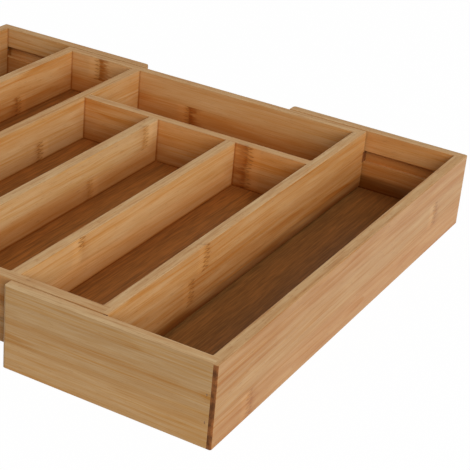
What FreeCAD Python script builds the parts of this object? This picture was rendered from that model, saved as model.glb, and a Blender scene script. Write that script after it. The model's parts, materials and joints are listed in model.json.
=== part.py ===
import FreeCAD, Part
import os

# A cutlery tray of bamboo boards that widens: a centre tray with four slots and
# one wide compartment hangs on rails between two pull-out trays.
# Millimetres. X runs along the pull, Y from front to back, Z up.
# The origin is on the table, under the middle of the tray as it stands.

# Overall sizes
tray_depth = 430.0
tray_height = 65.0

# Thickness of the boards
pull_board = 9.5
side_wall = 9.5
centre_board = 9.5
centre_wall = 9.5
divider = 9.5
floor_thickness = 4.5

# Compartments
slot_count = 4
slot_width = 68.0
back_compartment = 81.0
right_slot = 82.0
left_slot = 75.5

# How the trays meet: running gap between the boards that pass each other, what is
# left open when a tray is pushed home, and the gap between the two trays' ends then
running_gap = 1.0
closed_gap = 1.0
meeting_gap = 1.0

# Floors: height of the underside over the board's lower edge, and depth in the grooves
pull_floor_rise = 5.5
centre_floor_rise = 8.5
floor_seat = 4.0
under_gap = 2.5

# Slide: the groove in the pull-out boards and the rail on the centre boards
groove_bottom = 35.0
groove_height = 11.0
groove_depth = 4.5
rail_play = 0.5
rail_seat = 3.0

# Corner joint: the lip of a wall that covers the end of the board it meets
lip = 3.5

# Rounded edges
edge_round = 0.8
corner_round = 1.5
free_end_round = 3.0

# Brads that hold the corners and the dividers: flat wire nails with a T-shaped head
brad_length = 25.0
brad_width = 1.25
brad_thickness = 1.05
brad_head_width = 1.8
brad_head_length = 0.9
brad_point = 2.0
brad_sink = 0.4
pull_brad_heights = (19.5, 40.5)

# Room by which a cut runs past the board that it opens, and the nearness of two places
overrun = 1.0
near = 0.001

# Places worked out from the sizes
centre_width = slot_count * slot_width + (slot_count - 1) * divider + 2 * centre_wall
total_width = centre_width + right_slot + left_slot + 2 * side_wall
pull_length = centre_width / 2 + closed_gap + side_wall - meeting_gap / 2
front = -tray_depth / 2
pull_inner_front = front + pull_board
pull_floor_top = pull_floor_rise + floor_thickness
centre_left = -total_width / 2 + side_wall + left_slot
centre_right = centre_left + centre_width
centre_front = pull_inner_front + running_gap
inner_front = centre_front + centre_board
inner_back = -inner_front
inner_right = centre_right - centre_wall
inner_left = centre_left + centre_wall
centre_bottom = pull_floor_top + under_gap
centre_floor_bottom = centre_bottom + centre_floor_rise
centre_floor_top = centre_floor_bottom + floor_thickness
cross_back = inner_back - back_compartment
cross_front = cross_back - divider
rail_bottom = groove_bottom + rail_play
rail_top = groove_bottom + groove_height - rail_play
rail_reach = running_gap + groove_depth - rail_play
butt_depth = 2 * edge_round
first_divider = inner_left + slot_width
divider_pitch = slot_width + divider
centre_brad_heights = ((centre_floor_top + rail_bottom) / 2, (rail_top + tray_height) / 2)


def block(x, y, z):
    """A box from its low and high limits along the three axes."""
    corner = FreeCAD.Vector(x[0], y[0], z[0])
    return Part.makeBox(x[1] - x[0], y[1] - y[0], z[1] - z[0], corner)


def mirrored(shape, normal):
    return shape.mirror(FreeCAD.Vector(0, 0, 0), FreeCAD.Vector(*normal))


def to_left(shape):
    return mirrored(shape, (1, 0, 0))


def to_back(shape):
    return mirrored(shape, (0, 1, 0))


def lies_at(edge, axis, place):
    return all(abs(vertex.Point[axis] - place) < near for vertex in edge.Vertexes)


def round_upright_edge(board, x, y, radius):
    """Round the upright edge of a board that stands at x, y."""
    edges = [edge for edge in board.Edges if lies_at(edge, 0, x) and lies_at(edge, 1, y)]
    return board.makeFillet(radius, edges)


def ease_top(board, butts=()):
    """Round the top edges of a board, except at the ends that butt against another one.

    Each butt is an axis, 0 or 1, and the place along it.
    """
    edges = [edge for edge in board.Edges if lies_at(edge, 2, board.BoundBox.ZMax)]
    for axis, place in butts:
        edges = [edge for edge in edges if not lies_at(edge, axis, place)]
    return board.makeFillet(edge_round, edges)


def square_butt(board, x, y):
    """Keep a top edge square where another board butts against it, so that the tops are flush there.

    x and y are the limits of the stretch, and on one of them it ends at the edge.
    """
    stretch = block(x, y, (tray_height - butt_depth, tray_height))
    return board.fuse(stretch).removeSplitter()


def flat_prism(profile, x, face, z, inward):
    """A prism as thick as a brad, from (height, depth) points that start at a board's face."""
    side = x - brad_thickness / 2
    points = [FreeCAD.Vector(side, face + inward * depth, z + height) for height, depth in profile]
    outline = Part.Face(Part.makePolygon(points + points[:1]))
    return outline.extrude(FreeCAD.Vector(brad_thickness, 0, 0))


def brad(x, face, z, inward):
    """A T-headed nail with a chisel point, sunk a little below the face and driven inward along Y."""
    neck = brad_sink + brad_head_length
    tip = brad_sink + brad_length
    upper = [
        (brad_head_width / 2, brad_sink),
        (brad_head_width / 2, neck),
        (brad_width / 2, neck),
        (brad_width / 2, tip - brad_point),
    ]
    lower = [(-height, depth) for height, depth in reversed(upper)]
    return flat_prism(upper + [(0, tip)] + lower, x, face, z, inward)


def brad_recess(x, face, z, inward):
    """The small hole that is left over a sunk brad's head."""
    half = brad_head_width / 2
    return flat_prism([(half, 0), (half, brad_sink), (-half, brad_sink), (-half, 0)], x, face, z, inward)


def drive_brads(places):
    """The brads at some (x, face, z, inward) places, and the holes that they need."""
    brads = [brad(*place) for place in places]
    recesses = [brad_recess(*place) for place in places]
    return brads, brads + recesses


def rebated_wall(outer, thickness, end, board, bottom, floor_bottom):
    """A right wall: a lip at each end covers the end of a board, and a groove holds the floor.

    outer is the place of its outer face, end that of its front end, and board the thickness
    of the boards that it meets.
    """
    inner = outer - thickness
    wall = block((inner, outer), (end, -end), (bottom, tray_height))
    for corner in (end, -end):
        wall = round_upright_edge(wall, outer, corner, corner_round)
    wall = ease_top(wall)
    rebate = block((inner - overrun, outer - lip), (end - overrun, end + board),
                   (bottom - overrun, tray_height + overrun))
    groove = block((inner - overrun, inner + floor_seat), (end - overrun, -end + overrun),
                   (floor_bottom, floor_bottom + floor_thickness))
    return wall.cut([rebate, to_back(rebate), groove])


# A pull-out tray is made as the right one, in its own frame: the side wall's outer face
# is at X = 0 and the boards' free ends point to -X. The left one is its mirror image.
def pull_front_blank():
    """The front board: rounded at its free end, with a groove for the rail and one for the floor."""
    length = (-pull_length, -lip)
    board = block(length, (front, pull_inner_front), (0, tray_height))
    board = round_upright_edge(board, -pull_length, front, free_end_round)
    board = ease_top(board, [(0, -lip)])
    board = square_butt(board, (-side_wall, -lip), (pull_inner_front - butt_depth, pull_inner_front))
    run = (-pull_length - overrun, -lip + overrun)
    slide = block(run, (pull_inner_front - groove_depth, pull_inner_front + overrun),
                  (groove_bottom, groove_bottom + groove_height))
    seat = block(run, (pull_inner_front - floor_seat, pull_inner_front + overrun),
                 (pull_floor_rise, pull_floor_top))
    return board.cut([slide, seat])


def pull_out_tray():
    """The pieces of the right pull-out tray, by name."""
    shoulder_middle = -(side_wall + lip) / 2
    wall = rebated_wall(0, side_wall, front, pull_board, 0, pull_floor_rise)
    places = [(shoulder_middle, face, z, inward)
              for face, inward in ((front, 1), (-front, -1)) for z in pull_brad_heights]
    brads, holes = drive_brads(places)
    front_board = pull_front_blank()
    back_board = to_back(front_board)
    reach_y = -pull_inner_front + floor_seat
    floor = block((-pull_length, -side_wall + floor_seat), (-reach_y, reach_y),
                  (pull_floor_rise, pull_floor_top))
    return {
        "front_board": front_board.cut(holes),
        "back_board": back_board.cut(holes),
        "side_wall": wall.cut(holes),
        "floor": floor,
        "brads": Part.makeCompound(brads),
    }


def rail_groove():
    """The seat of the front rail, across the front board and the ends of both walls."""
    run = (centre_left - overrun, centre_right + overrun)
    return block(run, (centre_front - overrun, centre_front + rail_seat), (rail_bottom, rail_top))


def centre_front_blank(divider_lefts):
    """The centre's front board: a seat for the rail outside and a groove for the floor inside.

    divider_lefts are the left faces of the dividers that butt against it.
    """
    ends = (centre_left + lip, centre_right - lip)
    board = block(ends, (centre_front, inner_front), (centre_bottom, tray_height))
    board = ease_top(board, [(0, end) for end in ends])
    butts = [(ends[0], inner_left), (inner_right, ends[1])]
    butts += [(left, left + divider) for left in divider_lefts]
    for butt in butts:
        board = square_butt(board, butt, (inner_front - butt_depth, inner_front))
    run = (ends[0] - overrun, ends[1] + overrun)
    floor_groove = block(run, (inner_front - floor_seat, inner_front + overrun),
                         (centre_floor_bottom, centre_floor_top))
    return board.cut([rail_groove(), floor_groove])


def centre_rail():
    """The strip that is glued into the front of the tray and runs in the pull-out trays' grooves."""
    outer = centre_front - rail_reach
    rail = block((centre_left, centre_right), (outer, centre_front + rail_seat), (rail_bottom, rail_top))
    edges = [edge for edge in rail.Edges
             if lies_at(edge, 1, outer) and (lies_at(edge, 2, rail_bottom) or lies_at(edge, 2, rail_top))]
    return rail.makeFillet(edge_round, edges)


def centre_wall_blank():
    """The centre's right wall, with the rails let into its ends."""
    wall = rebated_wall(centre_right, centre_wall, centre_front, centre_board,
                        centre_bottom, centre_floor_bottom)
    return wall.cut([rail_groove(), to_back(rail_groove())])


def upright_divider(x, back_end):
    """A divider that runs back from the front board, with its left face at x."""
    butts = [(1, inner_front), (1, back_end)]
    board = block((x, x + divider), (inner_front, back_end), (centre_floor_top, tray_height))
    return ease_top(board, butts)


def cross_divider(divider_lefts):
    """The divider across the tray, from the long divider to the right wall.

    divider_lefts are the left faces of the short dividers that butt against it.
    """
    left_end = first_divider + divider
    board = block((left_end, inner_right), (cross_front, cross_back), (centre_floor_top, tray_height))
    board = ease_top(board, [(0, left_end), (0, inner_right)])
    for left in divider_lefts:
        board = square_butt(board, (left, left + divider), (cross_front, cross_front + butt_depth))
    return board


def centre_tray():
    """The pieces of the centre tray, by name."""
    shoulder_middle = (centre_wall + lip) / 2
    wall_lines = [centre_left + shoulder_middle, centre_right - shoulder_middle]
    divider_lefts = [first_divider + i * divider_pitch for i in range(slot_count - 1)]
    divider_lines = [left + divider / 2 for left in divider_lefts]
    front_lines = wall_lines + divider_lines
    back_lines = wall_lines + divider_lines[:1]
    places = [(x, centre_front, z, 1) for x in front_lines for z in centre_brad_heights]
    places += [(x, -centre_front, z, -1) for x in back_lines for z in centre_brad_heights]
    brads, holes = drive_brads(places)
    front_board = centre_front_blank(divider_lefts)
    back_board = to_back(centre_front_blank(divider_lefts[:1]))
    wall = centre_wall_blank()
    middle = centre_left + centre_right
    left_wall = to_left(wall).translated(FreeCAD.Vector(middle, 0, 0))
    cross = (cross_front, cross_back)
    right_wall = square_butt(wall, (inner_right, inner_right + butt_depth), cross)
    long_divider = upright_divider(divider_lefts[0], inner_back)
    long_right = divider_lefts[0] + divider
    long_divider = square_butt(long_divider, (long_right - butt_depth, long_right), cross)
    floor = block((inner_left - floor_seat, inner_right + floor_seat),
                  (inner_front - floor_seat, inner_back + floor_seat),
                  (centre_floor_bottom, centre_floor_top))
    rail = centre_rail()
    pieces = {
        "front_board": front_board.cut(holes),
        "back_board": back_board.cut(holes),
        "left_wall": left_wall.cut(holes),
        "right_wall": right_wall.cut(holes),
        "floor": floor,
        "front_rail": rail,
        "back_rail": to_back(rail),
        "long_divider": long_divider.cut(holes),
        "cross_divider": cross_divider(divider_lefts[1:]),
        "brads": Part.makeCompound(brads),
    }
    for number, left in enumerate(divider_lefts[1:], start=1):
        pieces[f"short_divider_{number}"] = upright_divider(left, cross_front).cut(holes)
    return pieces


def export(prefix, pieces, move=FreeCAD.Vector(0, 0, 0)):
    for name, shape in pieces.items():
        shape.translated(move).exportStep(f"parts/{prefix}_{name}.step")


os.makedirs("parts", exist_ok=True)
right_tray = pull_out_tray()
left_tray = {name: to_left(shape) for name, shape in right_tray.items()}
export("centre", centre_tray())
export("right_tray", right_tray, FreeCAD.Vector(total_width / 2, 0, 0))
export("left_tray", left_tray, FreeCAD.Vector(-total_width / 2, 0, 0))
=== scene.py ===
import json
from collections import namedtuple
from math import radians

import bpy
from mathutils import Matrix, Vector

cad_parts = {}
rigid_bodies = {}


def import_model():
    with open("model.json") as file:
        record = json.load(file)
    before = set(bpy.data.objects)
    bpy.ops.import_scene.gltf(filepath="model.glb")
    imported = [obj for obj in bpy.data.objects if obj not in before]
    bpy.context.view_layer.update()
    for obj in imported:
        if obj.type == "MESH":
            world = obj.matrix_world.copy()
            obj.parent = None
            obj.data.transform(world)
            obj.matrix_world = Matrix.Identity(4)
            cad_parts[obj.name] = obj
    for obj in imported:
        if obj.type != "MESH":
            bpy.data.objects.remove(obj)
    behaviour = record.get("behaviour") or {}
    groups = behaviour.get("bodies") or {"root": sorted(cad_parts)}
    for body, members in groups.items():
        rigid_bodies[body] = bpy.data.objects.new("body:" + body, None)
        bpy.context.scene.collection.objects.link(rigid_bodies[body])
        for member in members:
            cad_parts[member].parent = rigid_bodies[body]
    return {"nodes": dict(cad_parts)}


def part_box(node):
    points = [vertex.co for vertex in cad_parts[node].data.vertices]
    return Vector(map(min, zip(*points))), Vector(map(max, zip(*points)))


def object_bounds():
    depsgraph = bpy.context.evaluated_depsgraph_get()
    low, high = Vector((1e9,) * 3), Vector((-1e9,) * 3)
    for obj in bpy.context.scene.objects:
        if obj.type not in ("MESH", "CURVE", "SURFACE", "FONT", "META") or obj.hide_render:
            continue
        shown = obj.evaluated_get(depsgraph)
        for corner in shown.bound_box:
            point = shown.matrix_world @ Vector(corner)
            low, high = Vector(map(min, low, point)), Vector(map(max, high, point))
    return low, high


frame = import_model()
cad_low, cad_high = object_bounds()

bl_info = {
    "name": "Bamboo cutlery tray",
    "version": (1, 0, 0),
    "blender": (4, 5, 0),
    "location": "3D View > Sidebar > Tray",
    "description": "Finishes the parts of a cutlery tray that pulls out, and lights it",
    "category": "Object",
}

MM = 0.001
STRIPS_PER_BOARD = 3

# How one board looks on the face that the camera sees, strip by strip from the bottom one to the
# top one: tone, 0 dark and 1 light; warmth, 0 olive and 1 orange; and where the strip's knuckle is,
# as a share of the board's length from its left or front end. A strip without one has NO_KNUCKLE.
# stain is how dark the wood is beside the knuckles: before them if it is negative, else after them.
# figure is how strongly the streaks show. reach is the share of a strip, from its top, that a
# knuckle marks, and more than 1 makes sure of all of it. veins are the heights of the growth lines
# that stand out, in millimetres. dash is how dark the knuckles are. worn is how far the top is
# sanded back, 1 being usual. fade is how much paler the board is at its right or back end than at
# the other.
# fade is partly darker wood at the front end and partly painted light against the soft box's fall-off.
NO_KNUCKLE = 3.0
NO_KNUCKLES = (NO_KNUCKLE, NO_KNUCKLE, NO_KNUCKLE)
Board = namedtuple("Board", "node tones warmths knuckles stain figure reach veins dash worn fade",
                   defaults=(NO_KNUCKLES, 0.0, 0.8, 1.2, (), 0.8, 1.0, 0.0))

PULL_OUT_BOARDS = (
    Board("right_tray_front_board", (0.75, 0.65, 0.63), (0.05, 0.05, 0.0),
          figure=0.6, veins=(9, 24, 39), worn=1.3),
    Board("right_tray_side_wall", (0.61, 0.66, 0.57), (0.53, 0.25, 0.43),
          (0.117, 0.854, NO_KNUCKLE), stain=0.4, veins=(24, 51), dash=0.5, fade=0.12),
    # Its dark, warm bottom strip is partly painted shade, low on the inner face of its compartment.
    Board("right_tray_back_board", (0.0, 0.45, 0.57), (1.0, 1.0, 0.7),
          figure=0.6, worn=1.2),
    Board("left_tray_front_board", (0.55, 0.58, 0.58), (0.4, 0.3, 0.25),
          (0.4, NO_KNUCKLE, 0.7), stain=0.2),
    Board("left_tray_side_wall", (0.58, 0.55, 0.58), (0.4, 0.4, 0.4),
          (0.3, 0.8, NO_KNUCKLE), stain=-0.2),
    Board("left_tray_back_board", (0.53, 0.56, 0.6), (0.6, 0.65, 0.3)),
)
CENTRE_BOARDS = (
    Board("centre_front_board", (0.52, 0.55, 0.54), (0.4, 0.3, 0.5),
          (0.2, 0.6, NO_KNUCKLE), stain=0.2),
    Board("centre_right_wall", (0.09, 0.51, 0.71), (1.0, 0.75, 0.4),
          (NO_KNUCKLE, 0.275, 0.322), stain=0.15, worn=1.25),
    Board("centre_left_wall", (0.53, 0.58, 0.71), (0.65, 0.85, 0.45),
          (NO_KNUCKLE, 0.77, NO_KNUCKLE), stain=-0.8),
    Board("centre_back_board", (0.53, 0.57, 0.71), (0.6, 1.0, 0.4),
          (NO_KNUCKLE, 0.447, 0.122), stain=1.4, figure=0.55, dash=0.65),
)
DIVIDERS = (
    Board("centre_long_divider", (0.58, 0.87, 0.75), (0.4, 0.2, 0.25),
          (NO_KNUCKLE, 0.6, 0.2), stain=-0.5, worn=0.7),
    Board("centre_cross_divider", (0.48, 0.44, 0.56), (0.8, 0.9, 0.85),
          (0.75, 0.755, 0.758), stain=-0.95),
    Board("centre_short_divider_1", (0.53, 0.64, 0.85), (0.6, 0.6, 0.05),
          (NO_KNUCKLE, 0.66, 0.937), stain=-0.4, figure=0.6, dash=0.45),
    Board("centre_short_divider_2", (0.58, 1.0, 0.87), (0.4, 0.4, 0.2),
          (NO_KNUCKLE, NO_KNUCKLE, 0.245), stain=0.3, figure=0.65, reach=0.45, veins=(59,)),
)
RAILS = (
    Board("centre_front_rail", (0.52, 0.52, 0.52), (0.4, 0.4, 0.4), (NO_KNUCKLE, 0.36, NO_KNUCKLE)),
    Board("centre_back_rail", (0.52, 0.52, 0.52), (0.4, 0.4, 0.4), (NO_KNUCKLE, 0.71, NO_KNUCKLE)),
)

# The tone of each floor panel, 0 dark and 1 light, and its warmth.
Floor = namedtuple("Floor", "node tone warmth")
FLOORS = (
    Floor("centre_floor", 0.58, 0.75),
    Floor("left_tray_floor", 0.47, 0.45),
    Floor("right_tray_floor", 0.4, 0.4),
)
BRADS = ("centre_brads", "left_tray_brads", "right_tray_brads")
COMPARTMENT_NODES = [piece.node for piece in PULL_OUT_BOARDS + CENTRE_BOARDS + DIVIDERS + FLOORS]

# The pieces of a group have seeds that are this far apart, so that no two look alike.
BOARD_SEED_STEP = 1.7
FLOOR_SEED_STEP = 3.3

# Noise that is drawn out along the grain: how long and how wide its marks are in millimetres, a
# number that sets it apart from the others, the levels at which a mark begins and is full, and how
# finely it is broken up.
Pattern = namedtuple("Pattern", "length width number levels detail", defaults=((0.3, 0.7), 2.0))
BEND = Pattern(150, 25, 17.3)
STREAKS = Pattern(120, 2.3, 3.1, (0.53, 0.68))
FINE_FIBRES = Pattern(24, 0.6, 5.7)
PALE_PATCHES = Pattern(70, 6, 0.0, (0.35, 0.7))
LONG_LINES = Pattern(300, 1.3, 15.1, (0.55, 0.66))
FLECKS = Pattern(8, 0.5, 7.9, (0.64, 0.72))
GROWTH_RINGS = Pattern(420, 16, 21.7, detail=0.0)
GROWTH_BREAKS = Pattern(160, 9, 27.2, (0.42, 0.62))
KNUCKLE_DASHES = Pattern(6, 1.2, 9.2, (0.34, 0.5))
STAIN_BLOTCHES = Pattern(16, 2.5, 11.3, (0.35, 0.6))
TOP_WEAR = Pattern(30, 3, 12.4, detail=3.0)
TOP_LINES = Pattern(70, 1.6, 35.2, (0.5, 0.62))
TOP_NICKS = Pattern(7, 1.2, 31.9, (0.6, 0.7))
PANEL_CLOUDS = Pattern(60, 14, 0.0)
PANEL_STREAKS = Pattern(70, 1.5, 2.3, detail=3.0)
PANEL_FIBRES = Pattern(18, 0.8, 4.4)
PANEL_LINES = Pattern(200, 2.2, 6.1, (0.55, 0.66))

# How strongly a feature covers the wood under it.
PATCH_SHARE = 0.25
FLECK_SHARE = 0.4
VEIN_SHARE = 0.6
KNUCKLE_HALO_SHARE = 0.45
GLUE_SHARE = 0.22
TOP_LINE_SHARE = 0.32
TOP_NICK_SHARE = 0.3
# Painted shade in the corners, along the joints and further out, and painted shadow under the centre
# walls.
SHADE_LINE_SHARE = 0.5
SHADE_SPREAD_SHARE = 0.5
GAP_SHADOW_SHARE = 0.7
PANEL_LINE_SHARE = 0.4

# How the strips of a board lie: how far the grain bends up and down, how far their edges fray, the
# share of a strip that blends into the next, and the move that gives every strip its own grain.
BEND_REACH = 4 * MM
FRAY_REACH = 16 * MM
STRIP_BLEND = 0.2
STRIP_MOVE = (37.0, 53.0, 0.0)

# The tone and warmth of a plain strip, and how much of them there is in the ply behind the seen one.
PLAIN_TONE = 0.6
PLAIN_WARMTH = 0.4
PLAIN_SHARE = 0.7

# What the fibres between two pores do to the colour of a strip, from the most golden to the palest,
# and how much of that follows the pale patches.
GOLDEN_FIBRE = (0.95, 0.88, 0.74)
PALE_FIBRE = (1.05, 1.12, 1.28)
PATCH_PALENESS = 0.3

# A growth line: the part of a ring where it starts and where it is darkest, and for one that stands
# out, how far below its height it begins and is full, and where it starts to fade.
RING_START = 0.5
RING_EDGE = 0.95
VEIN_EDGE = (-0.6 * MM, 0.2 * MM)
VEIN_CORE = 0.4 * MM

# A knuckle's zigzag: how far its teeth are out of line, their height and slope, the middle of their
# reach along the grain, and how much of a dash is fully dark.
ZIGZAG_RAGGED = 2 * MM
ZIGZAG_TOOTH = 1.8 * MM
ZIGZAG_SLOPE = 4.6
ZIGZAG_MIDDLE = 4.1 * MM
DASH_CORE = 0.4 * MM

# The heights in a strip, from its middle, between which the marks of a knuckle without reach begin
# and are full. Its reach moves both down.
MARK_EDGE = (0.4, 0.55)

# Along the grain from a knuckle: the amber halo on both sides, the pale band on one side and the
# stain on the other, which begins sharply and ends in tongues.
HALO_EDGE = (2 * MM, 6 * MM)
PALE_BAND_PLACE = 7 * MM
PALE_BAND_EDGE = (2 * MM, 7 * MM)
PALE_BAND_LIGHTER = 0.08
STAIN_START = (-1 * MM, 2 * MM)
STAIN_END = (3 * MM, 15 * MM)
TONGUE_REACH = 40 * MM
STAIN_LEAST = 0.45

# Half the width of a glue line between strips, and where one between plies begins to fade and ends.
STRIP_GLUE = 0.3 * MM
PLY_GLUE = (0.1 * MM, 0.3 * MM)

# How much of a normal lies along an axis when a face begins to count as something and when it does
# so fully: as looking that way, as a top, as the eased edge of a top and as past that edge, as the
# end of a wall, as a free end and its corner, and as the top of an end.
FACING = (0.6, 0.9)
FACING_UP = (0.5, 0.9)
EDGE_BEGINS = (0.05, 0.3)
EDGE_ENDS = (0.85, 0.98)
WALL_END = (0.1, 0.6)
FREE_END = (0.7, 0.95)
FREE_CORNER = (0.1, 0.5)
END_TOP = (0.15, 0.5)

# A sanded top: how far below the tray's top it starts and is full, how much of its paler colour a
# ledge gets as painted light, the least share that is sanded and how much more there can be, how
# much less the ply at the right or back has, and how much painted shade darkens the eased edges.
TOP_BELOW = (3 * MM, 1 * MM)
LEDGE_PAINTED_LIGHT = 0.15
SANDED_LEAST = 0.35
SANDED_MORE = 0.4
PLY_SANDED_LESS = 0.2
EDGE_PAINTED_SHADE = 0.2

# End grain: where the dots of its fibres begin and end, the levels and detail of its noise, how far
# its brown varies, and how much paler the rounded corners of a free end are, as a painted highlight.
DOT_EDGE = (0.15, 0.45)
END_LEVELS = (0.35, 0.65)
END_DETAIL = 2.0
END_SPREAD = 0.8
FREE_CORNER_HIGHLIGHT = 0.12

# A board this near to the side of its body has one face in a compartment; a divider has two. Pieces
# that are no further apart than TOUCHING have grime between them.
OUTER_BOARD = 1 * MM
TOUCHING = 1 * MM

# Painted shade and shadow: the share of the tray's height that is deep in a compartment, how deep a
# floor counts as, and the height at which the painted shadow under the lower edges of the centre
# walls starts to fade.
DEEP_SHARE = 0.45
FLOOR_DEPTH = 0.9
GAP_SHADOW_CORE = 1 * MM

# The relief of the grain: its depth, its strength on boards and panels, and the fine fibres' part.
RELIEF_DEPTH = 0.3 * MM
BOARD_RELIEF = 0.12
PANEL_RELIEF = 0.1
FINE_RELIEF = 0.6

# How much rougher the wood is: from pore to fibre, on sawn ends, on sanded tops and on the panels,
# which shine less too.
FIBRE_ROUGHER = 0.12
END_ROUGHER = 0.2
TOP_ROUGHER = 0.35
PANEL_ROUGHER = 0.1
PANEL_SHEEN = 0.5

# How far a panel varies: in tone from strip to strip and in clouds, in warmth in clouds, and in
# brightness by streaks and by fibres.
PANEL_STRIP_SPREAD = 0.2
PANEL_CLOUD_SPREAD = 0.4
PANEL_WARMTH_SPREAD = 0.4
PANEL_STREAK_SPREAD = 0.18
PANEL_FIBRE_SPREAD = 0.44

# The brads' wire: the size, levels and detail of its stains, how rough it is in them and how much
# rougher between them, and how metallic it is.
WIRE_STAIN = 0.5 * MM
WIRE_LEVELS = (0.35, 0.65)
WIRE_DETAIL = 3.0
WIRE_ROUGHNESS = 0.4
WIRE_ROUGHER = 0.3
WIRE_METALLIC = 0.2

# The sockets of a Mix node that mixes colours: the share, the two colours and the result.
MIX_SHARE = 0
MIX_FIRST = 6
MIX_SECOND = 7
MIX_RESULT = 2

WHITE = (1.0, 1.0, 1.0)
STUDIO_FLOOR_SIDE = 8.0
SENSOR_WIDTH = 36.0


class Shade:
    """A socket of a material's node tree; Python's operators on it add Math nodes."""

    def __init__(self, tree, socket):
        self.tree = tree
        self.socket = socket

    def node(self, kind, settings, inputs, output=0):
        """Add a node: its settings first, then the values or links of its sockets."""
        node = self.tree.nodes.new(kind)
        for name, value in settings.items():
            if name == "stops":
                set_stops(node.color_ramp, value)
            elif name == "interpolation":
                node.color_ramp.interpolation = value
            else:
                setattr(node, name, value)
        for name, value in inputs.items():
            if isinstance(value, Shade):
                self.tree.links.new(value.socket, node.inputs[name])
            else:
                node.inputs[name].default_value = value
        return Shade(self.tree, node.outputs[output])

    def math(self, operation, first, second=0.0):
        return self.node("ShaderNodeMath", {"operation": operation}, {0: first, 1: second})

    def vector(self, operation, *values):
        """Vector maths on values or links."""
        return self.node("ShaderNodeVectorMath", {"operation": operation}, dict(enumerate(values)))

    def __add__(self, other):
        return self.math("ADD", self, other)

    __radd__ = __add__

    def __sub__(self, other):
        return self.math("SUBTRACT", self, other)

    def __rsub__(self, other):
        return self.math("SUBTRACT", other, self)

    def __mul__(self, other):
        return self.math("MULTIPLY", self, other)

    __rmul__ = __mul__

    def __abs__(self):
        return self.math("ABSOLUTE", self)

    def __mod__(self, other):
        return self.math("FLOORED_MODULO", self, other)

    def above(self, level):
        return self.math("GREATER_THAN", self, level)

    def larger(self, other):
        return self.math("MAXIMUM", self, other)

    def smaller(self, other):
        return self.math("MINIMUM", self, other)

    def rise(self, low, high):
        """0 below low, 1 above high and smooth between."""
        ends = {"Value": self, "From Min": low, "From Max": high}
        return self.node("ShaderNodeMapRange", {"interpolation_type": "SMOOTHSTEP"}, ends)

    def mix(self, first, second):
        """A colour between two, with this value as the share of the second."""
        inputs = {MIX_SHARE: self, MIX_FIRST: first, MIX_SECOND: second}
        return self.node("ShaderNodeMix", {"data_type": "RGBA"}, inputs, MIX_RESULT)

    def split(self):
        """The three parts of a vector."""
        parts = self.tree.nodes.new("ShaderNodeSeparateXYZ")
        self.tree.links.new(self.socket, parts.inputs["Vector"])
        return [Shade(self.tree, part) for part in parts.outputs]

    def times(self, other):
        """Two colours multiplied, part by part."""
        return self.vector("MULTIPLY", self, other)

    def scaled(self, factor):
        """A colour made lighter or darker by a value."""
        return self.node("ShaderNodeVectorMath", {"operation": "SCALE"}, {0: self, "Scale": factor})

    def painted(self, share, colour):
        """This colour with a share of another over it."""
        return share.mix(self, opaque(colour))

    def tinted(self, share, tint):
        """This colour with a share of it multiplied by a tint."""
        return share.mix(self, self.times(tint))


def set_stops(ramp, stops):
    """Give a colour ramp some (place, colour) stops."""
    while len(ramp.elements) < len(stops):
        ramp.elements.new(1.0)
    for element, (place, colour) in zip(ramp.elements, stops):
        element.position = place
        element.color = opaque(colour)


def opaque(colour):
    return (*colour, 1.0)


def start_material(name):
    """A new material, its shader, and the surface's point and normal in the object's own frame."""
    material = bpy.data.materials.new(name)
    material.use_nodes = True
    tree = material.node_tree
    coordinates = tree.nodes.new("ShaderNodeTexCoord")
    point = Shade(tree, coordinates.outputs["Object"])
    normal = Shade(tree, coordinates.outputs["Normal"])
    return material, tree.nodes["Principled BSDF"], point, normal


def connect(shader, **inputs):
    """Link values to the shader's sockets, with _ for a space in a socket's name."""
    for name, value in inputs.items():
        value.tree.links.new(value.socket, shader.inputs[name.replace("_", " ")])


def dress(node, material):
    """Put a material on every slot of a CAD node."""
    slots = frame["nodes"][node].material_slots
    if not slots:
        raise RuntimeError(f"{node} has no material slot")
    for slot in slots:
        slot.material = material


def fibres(point, grain, pattern, seed):
    """The noise of a pattern, drawn out along the axis of the grain."""
    scale = [1.0 / (pattern.width * MM)] * 3
    scale[grain] = 1.0 / (pattern.length * MM)
    place = {"Vector": point, "Scale": scale, "Location": (seed + pattern.number,) * 3}
    stretched = point.node("ShaderNodeMapping", {}, place)
    noise = {"Vector": stretched, "Scale": 1.0, "Detail": pattern.detail}
    return point.node("ShaderNodeTexNoise", {}, noise)


def clouds(point, size, detail):
    """Noise that is the same size, in metres, all round."""
    noise = {"Vector": point, "Scale": 1.0 / size, "Detail": detail}
    return point.node("ShaderNodeTexNoise", {}, noise)


def relief(height, strength):
    """The normals of a shallow relief."""
    shape = {"Strength": strength, "Distance": RELIEF_DEPTH, "Height": height}
    return height.node("ShaderNodeBump", {}, shape)


def body_nodes(node):
    """The boards and floors that move with a node."""
    body = frame["nodes"][node].parent
    return [name for name in COMPARTMENT_NODES if frame["nodes"][name].parent == body]


def body_box(node):
    """The box round all the boards and floors that move with a node."""
    boxes = [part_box(name) for name in body_nodes(node)]
    low = Vector([min(box[0][axis] for box in boxes) for axis in range(3)])
    high = Vector([max(box[1][axis] for box in boxes) for axis in range(3)])
    return low, high


def box_distance(point, low, high):
    """How far a point is outside a box, along the axis on which it is farthest out."""
    offset = point.vector("SUBTRACT", point, (low + high) / 2)
    offset = point.vector("ABSOLUTE", offset)
    x, y, z = point.vector("SUBTRACT", offset, (high - low) / 2).split()
    return x.larger(y.larger(z))


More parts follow.
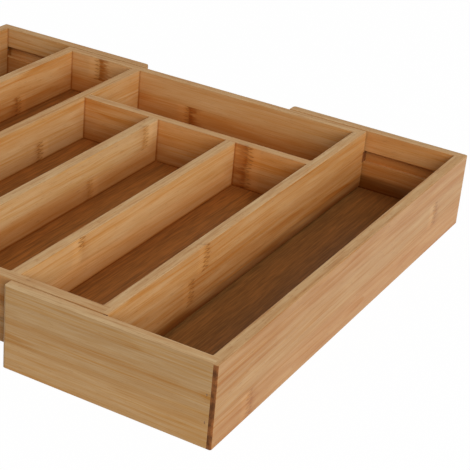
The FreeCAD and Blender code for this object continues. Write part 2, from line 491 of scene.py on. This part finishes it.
def painted_corner_shade(node, point, inward, depth, colour):
    """Darken a colour beside the boards and floors that touch a node, as painted shade."""
    finish = bpy.context.scene.tray_bamboo
    low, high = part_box(node)
    nearest = None
    for other in body_nodes(node):
        other_low, other_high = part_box(other)
        gaps = [max(other_low[axis] - high[axis], low[axis] - other_high[axis]) for axis in range(3)]
        if other == node or max(gaps) > TOUCHING:
            continue
        distance = box_distance(point, other_low, other_high)
        nearest = distance if nearest is None else nearest.smaller(distance)
    # A thin line of painted shade along the joints and a faint spread of it deep in the compartment.
    line = 1.0 - nearest.rise(0.0, finish.painted_shade_line)
    spread = (1.0 - nearest.rise(0.0, finish.painted_shade_spread)) * depth
    share = inward * (SHADE_LINE_SHARE * line + SHADE_SPREAD_SHARE * spread)
    return colour.tinted(share, finish.painted_shade_tint)


class Bamboo:
    """The bamboo of one board, laid on feature by feature."""

    def __init__(self, board, seed):
        self.board = board
        self.seed = seed
        self.finish = bpy.context.scene.tray_bamboo
        self.low, self.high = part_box(board.node)
        self.grain = 0 if self.high.x - self.low.x > self.high.y - self.low.y else 1
        self.thick = 1 - self.grain
        self.length = self.high[self.grain] - self.low[self.grain]
        self.middle = (self.low[self.thick] + self.high[self.thick]) / 2
        self.strip_height = cad_high.z / STRIPS_PER_BOARD
        self.material, self.shader, self.point, normal = start_material(board.node)
        self.places = self.point.split()
        self.facing = normal.split()
        self.from_end = self.places[self.grain] - self.low[self.grain]
        self.height = self.places[2]
        self.in_strip = (self.height * (1.0 / self.strip_height)) % 1.0 - 0.5
        self.second_ply = self.places[self.thick].above(self.middle)

        # Every strip has grain of its own: the point is moved far off by the strip's values.
        values = self.strip_values(self.height, 0.0)
        self.knuckle = values.split()[2]
        self.wander = BEND_REACH * (fibres(self.point, self.grain, BEND, seed) - 0.5)
        bent = self.point.node("ShaderNodeCombineXYZ", {}, {"Z": self.wander})
        bent = self.point.vector("ADD", self.point, bent)
        self.moved = self.point.vector("MULTIPLY_ADD", values, STRIP_MOVE, bent)
        self.streaks = self.fibres(STREAKS)
        self.fine = self.fibres(FINE_FIBRES)

    def fibres(self, pattern):
        """The noise of a pattern that is different in every strip."""
        return fibres(self.moved, self.grain, pattern, self.seed)

    def marks(self, pattern):
        """1 in the marks of a pattern that is different in every strip."""
        return self.fibres(pattern).rise(*pattern.levels)

    def board_marks(self, pattern):
        """1 in the marks of a pattern that goes on from strip to strip."""
        return fibres(self.point, self.grain, pattern, self.seed).rise(*pattern.levels)

    def strip_values(self, height, blend):
        """Tone, warmth and knuckle of the strip at a height; blend is the share of it that blends.

        The seen ply is the right one of a board that runs back, and the front one of a board that
        runs across. The hidden ply is a plainer one, end for end and upside down.
        """
        board = self.board
        seen = list(zip(board.tones, board.warmths, board.knuckles))
        hidden = [plainer(*values) for values in reversed(seen)]
        plies = (hidden, seen) if self.grain == 1 else (seen, hidden)
        share = height * (1.0 / cad_high.z)
        return self.second_ply.mix(*[strip_ramp(share, values, blend) for values in plies])

    def strips(self):
        """Strips of different tones, whose edges fray into each other."""
        finish = self.finish
        frayed = self.height + FRAY_REACH * (self.streaks - 0.5)
        tone, warmth, _ = self.strip_values(frayed, STRIP_BLEND).split()
        colour = tone.mix(opaque(finish.dark_strip), opaque(finish.light_strip))
        along = self.from_end * (1.0 / self.length)
        # Paler towards the right or back end: partly the wood and partly painted light against the
        # soft box's fall-off.
        colour = colour.scaled(1.0 + self.board.fade * (along - 0.5))
        return colour.times(warmth.mix(opaque(finish.olive_tint), opaque(finish.warm_tint)))

    def streaked(self, colour):
        """Pale patches, amber streaks, long thin lines and dark flecks along the grain."""
        finish = self.finish
        figure = self.board.figure
        patches = self.marks(PALE_PATCHES)
        colour = colour.painted(patches * (PATCH_SHARE * figure), finish.pale_streak)
        colour = colour.tinted(self.streaks.rise(*STREAKS.levels) * figure, finish.amber_tint)
        colour = colour.tinted(self.marks(LONG_LINES) * figure, finish.amber_tint)
        fibre = self.fine.rise(*FINE_FIBRES.levels)
        paler = PATCH_PALENESS * patches + (1.0 - PATCH_PALENESS) * fibre
        colour = colour.times(paler.mix(opaque(GOLDEN_FIBRE), opaque(PALE_FIBRE)))
        return colour.painted(self.marks(FLECKS) * FLECK_SHARE, finish.knuckle)

    def veined(self, colour):
        """A few long, thin growth lines that come and go, sharp on one side and faded on the other."""
        finish = self.finish
        rings = (self.fibres(GROWTH_RINGS) * finish.vein_count) % 1.0
        shown = self.marks(GROWTH_BREAKS)
        line = rings.rise(RING_START, RING_EDGE) * (1.0 - rings.rise(RING_EDGE, 1.0)) * shown
        for vein in self.board.veins:
            below = vein * MM - self.height - self.wander
            sharp = below.rise(*VEIN_EDGE) * (1.0 - below.rise(VEIN_CORE, finish.vein_width))
            line = line + sharp * (VEIN_SHARE + VEIN_SHARE * shown)
        return colour.tinted(line * self.board.figure, finish.vein_tint)

    def knuckled(self, colour):
        """A knuckle is a ragged zigzag of brown dashes, one strip high, with a stain on one side."""
        finish = self.finish
        board = self.board
        bow = self.in_strip * self.in_strip * finish.knuckle_bow
        after = self.from_end - self.knuckle * self.length + bow
        beside = after * (1.0 if board.stain > 0 else -1.0)

        ragged = self.fibres(KNUCKLE_DASHES)
        tooth = self.height + ZIGZAG_RAGGED * ragged
        zigzag = tooth.math("PINGPONG", tooth, ZIGZAG_TOOTH) * ZIGZAG_SLOPE
        dashes = 1.0 - abs(after + zigzag - ZIGZAG_MIDDLE).rise(DASH_CORE, finish.knuckle_width)
        marked = self.in_strip.rise(*[edge - board.reach for edge in MARK_EDGE])
        halo = 1.0 - abs(after).rise(*HALO_EDGE)
        pale_band = 1.0 - abs(beside + PALE_BAND_PLACE).rise(*PALE_BAND_EDGE)

        blotch = self.fibres(STAIN_BLOTCHES)
        tongues = beside + TONGUE_REACH * (blotch - 0.5)
        stained = beside.rise(*STAIN_START) * (1.0 - tongues.rise(*STAIN_END))
        stained = stained * (STAIN_LEAST + (1.0 - STAIN_LEAST) * blotch.rise(*STAIN_BLOTCHES.levels))

        colour = colour.scaled(1.0 + PALE_BAND_LIGHTER * pale_band)
        colour = colour.tinted(halo * marked * KNUCKLE_HALO_SHARE, finish.amber_tint)
        colour = colour.tinted(stained * abs(board.stain), finish.stain_tint)
        dashes = dashes * marked * ragged.rise(*KNUCKLE_DASHES.levels) * board.dash
        return colour.painted(dashes, finish.knuckle)

    def glued(self, colour):
        """Thin glue lines between strips and between the plies."""
        strip_line = abs(self.in_strip).rise(0.5 - STRIP_GLUE / self.strip_height, 0.5)
        ply_line = 1.0 - abs(self.places[self.thick] - self.middle).rise(*PLY_GLUE)
        return colour.painted((strip_line + ply_line) * GLUE_SHARE, self.finish.knuckle)

    def sanded(self, colour):
        """A top sanded back here and there to paler, duller wood, with lines and nicks in it.

        The eased edges beside it get painted shade; upward ledges below it get a little painted light.
        """
        finish = self.finish
        up = self.facing[2]
        high = self.height.rise(*[cad_high.z - below for below in TOP_BELOW])
        # Tops, and at a small share the ledges below them that face up, whose pale colour is painted
        # light.
        self.top = up.rise(*FACING_UP) * (LEDGE_PAINTED_LIGHT + (1.0 - LEDGE_PAINTED_LIGHT) * high)
        wear = SANDED_LEAST + SANDED_MORE * self.board_marks(TOP_WEAR)
        bare = self.top * wear * (1.0 - PLY_SANDED_LESS * self.second_ply) * self.board.worn
        colour = colour.painted(bare, finish.sanded)
        lines = self.board_marks(TOP_LINES) * self.top
        colour = colour.tinted(lines * TOP_LINE_SHARE, finish.stain_tint)
        nicks = self.board_marks(TOP_NICKS) * self.top
        colour = colour.painted(nicks * TOP_NICK_SHARE, finish.knuckle)
        # Painted shade on the eased edges between the tops and the faces.
        edge = up.rise(*EDGE_BEGINS) * (1.0 - up.rise(*EDGE_ENDS))
        return colour.scaled(1.0 - EDGE_PAINTED_SHADE * edge)

    def painted_corner_shade(self, colour):
        """Painted shade in the corners of the compartments: thin along the joints and faint further
        out.
        """
        depth = 1.0 - self.height.rise(DEEP_SHARE * cad_high.z, cad_high.z)
        return painted_corner_shade(self.board.node, self.point, self.inward(), depth, colour)

    def inward(self):
        """1 on the faces that look into a compartment."""
        low, high = body_box(self.board.node)
        toward = self.facing[self.thick]
        if self.low[self.thick] - low[self.thick] < OUTER_BOARD:
            return toward.rise(*FACING)
        if high[self.thick] - self.high[self.thick] < OUTER_BOARD:
            return (-1.0 * toward).rise(*FACING)
        return abs(toward).rise(*FACING)

    def painted_gap_shadow(self, colour):
        """Painted shadow along the lower edges of the centre tray's walls, where the pull-out floors
        pass.
        """
        if self.board not in CENTRE_BOARDS or self.grain == 0:
            return colour
        # The painted shadow is darkest at the lower edge and gone at the set height.
        edge = 1.0 - (self.height - self.low.z).rise(GAP_SHADOW_CORE, self.finish.gap_shadow_height)
        return colour.tinted(edge * GAP_SHADOW_SHARE, self.finish.painted_shade_tint)

    def end_grained(self, colour):
        """Sawn ends in short lengths of different brown with the dots of the fibres.

        The ends of a wall or a rail are soaked dark, and so are their corners. The free ends of a
        board that runs across are paler, and their rounded corners get a painted highlight.
        """
        finish = self.finish
        outward = abs(self.facing[self.grain])
        if self.grain == 1 or self.board in RAILS:
            brown = finish.end_grain
            self.end = outward.rise(*WALL_END)
        else:
            brown = finish.free_end
            self.end = outward.rise(*FREE_END)
            # A painted highlight on the rounded corners of a free end.
            colour = colour.scaled(1.0 + FREE_CORNER_HIGHLIGHT * outward.rise(*FREE_CORNER))
        lengths = clouds(self.point, finish.end_length, END_DETAIL).rise(*END_LEVELS)
        cells = {"Vector": self.point, "Scale": 1.0 / finish.fibre_pitch}
        dots = self.point.node("ShaderNodeTexVoronoi", {}, cells)
        dotted = dots.rise(*DOT_EDGE).mix(opaque(finish.knuckle), opaque(brown))
        dotted = dotted.scaled(1.0 + END_SPREAD * (lengths - 0.5))
        upright = 1.0 - self.facing[2].rise(*END_TOP)
        return (self.end * upright).mix(colour, dotted)

    def finished(self):
        """The board's material."""
        finish = self.finish
        colour = self.strips()
        features = (self.streaked, self.veined, self.knuckled, self.glued, self.sanded, self.painted_corner_shade,
                    self.painted_gap_shadow, self.end_grained)
        for feature in features:
            colour = feature(colour)
        roughness = finish.roughness + FIBRE_ROUGHER * (self.fine - 0.5)
        roughness = roughness + END_ROUGHER * self.end + TOP_ROUGHER * self.top
        height = FINE_RELIEF * self.fine + (1.0 - FINE_RELIEF) * self.streaks
        normal = relief(height, BOARD_RELIEF)
        connect(self.shader, Base_Color=colour, Roughness=roughness, Normal=normal)
        self.shader.inputs["Specular IOR Level"].default_value = finish.sheen
        return self.material


def plainer(tone, warmth, knuckle):
    """The values of a strip like another, turned end for end and nearer to a plain one."""
    tone += PLAIN_SHARE * (PLAIN_TONE - tone)
    warmth += PLAIN_SHARE * (PLAIN_WARMTH - warmth)
    if knuckle != NO_KNUCKLE:
        knuckle = 1.0 - knuckle
    return tone, warmth, knuckle


def strip_ramp(share, values, blend):
    """The values of the strip at a share of a board's height; blend is the share of it that blends."""
    if blend:
        margins = (blend, 1.0 - blend)
        stops = [((number + margin) / STRIPS_PER_BOARD, value)
                 for number, value in enumerate(values) for margin in margins]
        settings = {"interpolation": "LINEAR", "stops": stops}
    else:
        stops = [(number / STRIPS_PER_BOARD, value) for number, value in enumerate(values)]
        settings = {"interpolation": "CONSTANT", "stops": stops}
    return share.node("ShaderNodeValToRGB", settings, {"Fac": share})


def bamboo_panel(floor, seed):
    """A thin dark panel: strips side by side with their grain from front to back."""
    finish = bpy.context.scene.tray_bamboo
    material, shader, point, normal = start_material(floor.node)
    grain = 1
    across = point.split()[0] * (1.0 / finish.panel_strip) + seed
    strip = across.math("FLOOR", across)
    chance = strip.node("ShaderNodeTexWhiteNoise", {"noise_dimensions": "1D"}, {"W": strip})
    cloud = fibres(point, grain, PANEL_CLOUDS, seed) - 0.5
    streaks = fibres(point, grain, PANEL_STREAKS, seed).rise(*PANEL_STREAKS.levels)
    fine = fibres(point, grain, PANEL_FIBRES, seed)
    lines = fibres(point, grain, PANEL_LINES, seed).rise(*PANEL_LINES.levels)

    tone = floor.tone + PANEL_STRIP_SPREAD * (chance - 0.5) + PANEL_CLOUD_SPREAD * cloud
    colour = tone.mix(opaque(finish.panel_dark), opaque(finish.panel_light))
    warmth = floor.warmth + PANEL_WARMTH_SPREAD * cloud
    colour = colour.times(warmth.mix(opaque(finish.olive_tint), opaque(finish.warm_tint)))
    streaked = 1.0 + PANEL_STREAK_SPREAD * (streaks - 0.5)
    fibred = 1.0 + PANEL_FIBRE_SPREAD * (fine.rise(*PANEL_FIBRES.levels) - 0.5)
    colour = colour.scaled(streaked * fibred)
    colour = colour.painted(lines * PANEL_LINE_SHARE, finish.panel_dark)
    upward = normal.split()[2].rise(*FACING)
    # Painted shade on the floor beside the boards that stand on it.
    colour = painted_corner_shade(floor.node, point, upward, FLOOR_DEPTH, colour)

    roughness = finish.roughness + PANEL_ROUGHER * fine
    connect(shader, Base_Color=colour, Roughness=roughness, Normal=relief(fine, PANEL_RELIEF))
    shader.inputs["Specular IOR Level"].default_value = PANEL_SHEEN * finish.sheen
    return material


def dull_wire(node):
    """Nail wire gone dull and brown."""
    finish = bpy.context.scene.tray_bamboo
    material, shader, point, _ = start_material(node)
    blotch = clouds(point, WIRE_STAIN, WIRE_DETAIL)
    colour = blotch.rise(*WIRE_LEVELS).mix(opaque(finish.wire_dark), opaque(finish.wire))
    connect(shader, Base_Color=colour, Roughness=WIRE_ROUGHNESS + WIRE_ROUGHER * blotch)
    shader.inputs["Metallic"].default_value = WIRE_METALLIC
    return material


def colour_property(name, description, default):
    return bpy.props.FloatVectorProperty(
        name=name, description=description, default=default, subtype="COLOR", size=3, min=0.0, max=1.0)


def number_property(name, description, default, **settings):
    return bpy.props.FloatProperty(
        name=name, description=description, default=default, min=0.0, **settings)


def length_property(name, description, default):
    return number_property(name, description, default, unit="LENGTH")


def power_property(name, description, default):
    return number_property(name, description, default, unit="POWER")


def share_property(name, description, default):
    return number_property(name, description, default, subtype="FACTOR", max=1.0)


def place_property(name, description, default):
    return bpy.props.FloatVectorProperty(
        name=name, description=description, default=default, subtype="XYZ", unit="LENGTH", precision=4)


class TrayBamboo(bpy.types.PropertyGroup):
    """Colours and sizes of the bamboo and of the brads in it."""

    light_strip: colour_property(
        "Light strip", "Colour of the palest strips of the boards", (0.775, 0.423, 0.172))
    dark_strip: colour_property(
        "Dark strip", "Colour of the darkest strips of the boards", (0.187, 0.076, 0.0165))
    olive_tint: colour_property("Olive tint", "Tint of the coolest strips", (0.8, 0.9, 1.0))
    warm_tint: colour_property("Warm tint", "Tint of the warmest strips", (1.0, 0.78, 0.52))
    amber_tint: colour_property(
        "Amber streak", "Tint of the amber streaks along the grain", (0.95, 0.8, 0.5))
    vein_tint: colour_property("Growth line", "Tint of the long growth lines", (0.87, 0.67, 0.34))
    pale_streak: colour_property(
        "Pale streak", "Colour of the pale streaks along the grain", (0.68, 0.44, 0.2))
    # The tint of the painted shade in the corners and of the painted shadow under the centre walls.
    painted_shade_tint: colour_property("Grime", "Tint of the wood in the corners", (0.49, 0.29, 0.11))
    stain_tint: colour_property("Stain", "Tint of the stain beside a knuckle", (0.62, 0.4, 0.21))
    knuckle: colour_property(
        "Knuckle", "Colour of the dashes at a knuckle and of glue lines", (0.23, 0.085, 0.022))
    sanded: colour_property(
        "Sanded top", "Colour of the top edges where they are sanded back", (0.57, 0.385, 0.2))
    end_grain: colour_property(
        "End grain", "Colour of the sawn ends of the walls and rails", (0.17, 0.058, 0.016))
    free_end: colour_property(
        "Free end", "Colour of the sawn ends of the boards that run across", (0.42, 0.23, 0.09))
    panel_light: colour_property(
        "Panel, light", "Lightest colour of the floor panels", (0.45, 0.197, 0.057))
    panel_dark: colour_property(
        "Panel, dark", "Darkest colour of the floor panels", (0.15, 0.057, 0.014))
    wire: colour_property("Brad", "Colour of the brads", (0.37, 0.25, 0.15))
    wire_dark: colour_property(
        "Brad, stained", "Colour of the stained parts of the brads", (0.2, 0.11, 0.06))
    vein_count: number_property("Growth lines", "How close the growth lines lie", 4.5)
    vein_width: length_property("Growth line width", "How far a growth line fades", 3.0 * MM)
    roughness: share_property("Roughness", "Roughness of the satin lacquer", 0.38)
    sheen: share_property("Sheen", "How strongly the lacquer shines", 0.15)
    knuckle_width: length_property("Knuckle width", "Width of the dashes at a knuckle", 2.7 * MM)
    knuckle_bow: length_property(
        "Knuckle bow", "How far the ends of a knuckle bend along the grain", 6.0 * MM)
    # Painted shade: its width along a joint and how far it spreads from one.
    painted_shade_line: length_property("Grime line", "Width of the dark line along a joint", 2.0 * MM)
    painted_shade_spread: length_property("Grime spread", "How far grime reaches from a joint", 28.0 * MM)
    # How high the painted shadow under the centre tray's walls reaches.
    gap_shadow_height: length_property(
        "Soil height", "How high dirt reaches on the centre tray's walls", 6.5 * MM)
    end_length: length_property(
        "End lengths", "Size of the lengths of different brown on end grain", 6.0 * MM)
    fibre_pitch: length_property(
        "Fibre pitch", "Distance between the fibres on end grain", 0.8 * MM)
    panel_strip: length_property(
        "Panel strip", "Width of the strips of the floor panels", 21.0 * MM)


class TrayStage(bpy.types.PropertyGroup):
    """The floor, the light and the camera."""

    floor_colour: colour_property("Floor", "Colour of the floor as the camera sees it", WHITE)
    floor_bounce: colour_property(
        "Floor bounce", "Colour of the light that the floor throws back", (0.3, 0.3, 0.3))
    floor_glow: share_property("Floor glow", "How far the camera sees the floor as plain white", 0.97)
    world_light: number_property("World light", "Strength of the even light all round", 0.4)
    box_power: power_property("Soft box", "Power of the soft box", 268.0)
    box_place: place_property("Soft box place", "Where the soft box hangs", (3.78, -2.62, 2.42))
    box_size: length_property("Soft box size", "Side of the soft box", 3.8)
    fill_power: power_property("Fill", "Power of the low soft box that fills the shade", 90.0)
    fill_place: place_property("Fill place", "Where the fill stands", (-3.2, 3.4, 0.65))
    fill_size: length_property("Fill size", "Side of the fill", 1.2)
    camera_place: place_property(
        "Camera place", "Where the camera stands", (0.61432, -0.9233, 0.55659))
    camera_aim: place_property(
        "Camera aim", "Point at the middle of the picture", (0.13331, 0.01437, 0.03))
    camera_roll: bpy.props.FloatProperty(
        name="Camera roll", description="Turn of the camera about its own axis",
        default=radians(5.417), subtype="ANGLE")
    camera_lens: number_property(
        "Lens", "Focal length of the camera", 113.143, subtype="DISTANCE_CAMERA")


class FinishBoards:
    """What the operators on boards share: each board gets its own bamboo."""

    boards = ()
    first_seed = 0.0

    def execute(self, context):
        for number, board in enumerate(self.boards):
            dress(board.node, Bamboo(board, self.first_seed + BOARD_SEED_STEP * number).finished())
        return {"FINISHED"}


class TRAY_OT_pull_out_boards(FinishBoards, bpy.types.Operator):
    """Finish the boards of the two pull-out trays"""

    bl_idname = "tray.pull_out_boards"
    bl_label = "Pull-out boards"
    boards = PULL_OUT_BOARDS
    first_seed = 2.0


class TRAY_OT_centre_boards(FinishBoards, bpy.types.Operator):
    """Finish the front, back and side boards of the centre tray"""

    bl_idname = "tray.centre_boards"
    bl_label = "Centre boards"
    boards = CENTRE_BOARDS
    first_seed = 21.0


class TRAY_OT_dividers(FinishBoards, bpy.types.Operator):
    """Finish the dividers between the slots"""

    bl_idname = "tray.dividers"
    bl_label = "Dividers"
    boards = DIVIDERS
    first_seed = 43.0


class TRAY_OT_rails(FinishBoards, bpy.types.Operator):
    """Finish the rails that the pull-out trays run on"""

    bl_idname = "tray.rails"
    bl_label = "Rails"
    boards = RAILS
    first_seed = 61.0


class TRAY_OT_floors(bpy.types.Operator):
    """Finish the dark floor panels"""

    bl_idname = "tray.floors"
    bl_label = "Floors"
    first_seed = 7.0

    def execute(self, context):
        for number, floor in enumerate(FLOORS):
            dress(floor.node, bamboo_panel(floor, self.first_seed + FLOOR_SEED_STEP * number))
        return {"FINISHED"}


class TRAY_OT_brads(bpy.types.Operator):
    """Finish the brads in the boards"""

    bl_idname = "tray.brads"
    bl_label = "Brads"

    def execute(self, context):
        for node in BRADS:
            dress(node, dull_wire(node))
        return {"FINISHED"}


def seen_directly(tree):
    """1 for rays that show the background itself: from the camera, off gloss and through glass."""
    path = tree.nodes.new("ShaderNodeLightPath")
    kinds = ("Is Camera Ray", "Is Glossy Ray", "Is Transmission Ray")
    camera, gloss, glass = [Shade(tree, path.outputs[kind]) for kind in kinds]
    return camera.larger(gloss.larger(glass))


def pale_floor(stage):
    """A floor that takes the object's shadow and is otherwise near white to the camera."""
    material = bpy.data.materials.new("pale_floor")
    material.use_nodes = True
    tree = material.node_tree
    tree.nodes.remove(tree.nodes["Principled BSDF"])
    seen = seen_directly(tree)
    colour = seen.mix(opaque(stage.floor_bounce), opaque(stage.floor_colour))
    matte = seen.node("ShaderNodeBsdfDiffuse", {}, {"Color": colour})
    glow = seen.node("ShaderNodeEmission", {}, {"Color": opaque(WHITE), "Strength": 1.0})
    surface = seen.node("ShaderNodeMixShader", {}, {0: seen * stage.floor_glow, 1: matte, 2: glow})
    tree.links.new(surface.socket, tree.nodes["Material Output"].inputs["Surface"])
    return material


def light_world(stage):
    """Even light all round, and a white background where it is seen."""
    world = bpy.data.worlds.new("studio")
    world.use_nodes = True
    tree = world.node_tree
    tree.nodes.remove(tree.nodes["Background"])
    seen = seen_directly(tree)
    even, backdrop = [
        seen.node("ShaderNodeBackground", {}, {"Color": opaque(WHITE), "Strength": strength})
        for strength in (stage.world_light, 1.0)]
    surface = seen.node("ShaderNodeMixShader", {}, {0: seen, 1: even, 2: backdrop})
    tree.links.new(surface.socket, tree.nodes["World Output"].inputs["Surface"])
    return world


def aimed(place, aim):
    """The turn that points a lamp or a camera at a place."""
    return (Vector(aim) - Vector(place)).to_track_quat("-Z", "Y").to_matrix().to_4x4()


def add_soft_box(name, power, place, size):
    """A square area light that points at the middle of the tray."""
    bpy.ops.object.light_add(type="AREA", location=place)
    box = bpy.context.object
    box.name = name
    box.data.energy = power
    box.data.size = size
    box.matrix_world = Matrix.Translation(place) @ aimed(place, (cad_low + cad_high) / 2)
    return box


class TRAY_OT_stage(bpy.types.Operator):
    """Set the floor, the light and the camera"""

    bl_idname = "tray.stage"
    bl_label = "Stage"

    def execute(self, context):
        scene = context.scene
        stage = scene.tray_stage
        scene.view_settings.view_transform = "Standard"
        scene.world = light_world(stage)

        bpy.ops.object.select_all(action="DESELECT")
        bpy.ops.mesh.primitive_plane_add(size=STUDIO_FLOOR_SIDE, location=(0.0, 0.0, 0.0))
        floor = context.object
        floor.name = "studio_floor"
        floor.data.materials.append(pale_floor(stage))

        add_soft_box("soft_box", stage.box_power, stage.box_place, stage.box_size)
        fill = add_soft_box("fill", stage.fill_power, stage.fill_place, stage.fill_size)
        fill.visible_glossy = False

        bpy.ops.object.camera_add(location=stage.camera_place)
        camera = context.object
        camera.name = "photo_camera"
        roll = Matrix.Rotation(stage.camera_roll, 4, "Z")
        turn = aimed(stage.camera_place, stage.camera_aim) @ roll
        camera.matrix_world = Matrix.Translation(stage.camera_place) @ turn
        camera.data.sensor_width = SENSOR_WIDTH
        camera.data.lens = stage.camera_lens
        scene.camera = camera
        return {"FINISHED"}


OPERATORS = (
    TRAY_OT_pull_out_boards,
    TRAY_OT_centre_boards,
    TRAY_OT_dividers,
    TRAY_OT_rails,
    TRAY_OT_floors,
    TRAY_OT_brads,
    TRAY_OT_stage,
)


class TRAY_PT_panel(bpy.types.Panel):
    """The tray's finishes and its stage"""

    bl_idname = "TRAY_PT_panel"
    bl_label = "Cutlery tray"
    bl_space_type = "VIEW_3D"
    bl_region_type = "UI"
    bl_category = "Tray"

    def draw(self, context):
        for operator in OPERATORS:
            self.layout.operator(operator.bl_idname)
        for group in (context.scene.tray_bamboo, context.scene.tray_stage):
            box = self.layout.box()
            for name in group.bl_rna.properties.keys():
                if name not in {"rna_type", "name"}:
                    box.prop(group, name)


CLASSES = (TrayBamboo, TrayStage, *OPERATORS, TRAY_PT_panel)


def register():
    for item in CLASSES:
        bpy.utils.register_class(item)
    bpy.types.Scene.tray_bamboo = bpy.props.PointerProperty(type=TrayBamboo)
    bpy.types.Scene.tray_stage = bpy.props.PointerProperty(type=TrayStage)


def unregister():
    del bpy.types.Scene.tray_stage
    del bpy.types.Scene.tray_bamboo
    for item in reversed(CLASSES):
        bpy.utils.unregister_class(item)


def main():
    register()
    bpy.ops.tray.pull_out_boards()
    bpy.ops.tray.centre_boards()
    bpy.ops.tray.dividers()
    bpy.ops.tray.rails()
    bpy.ops.tray.floors()
    bpy.ops.tray.brads()
    bpy.ops.tray.stage()


if __name__ == "__main__":
    main()
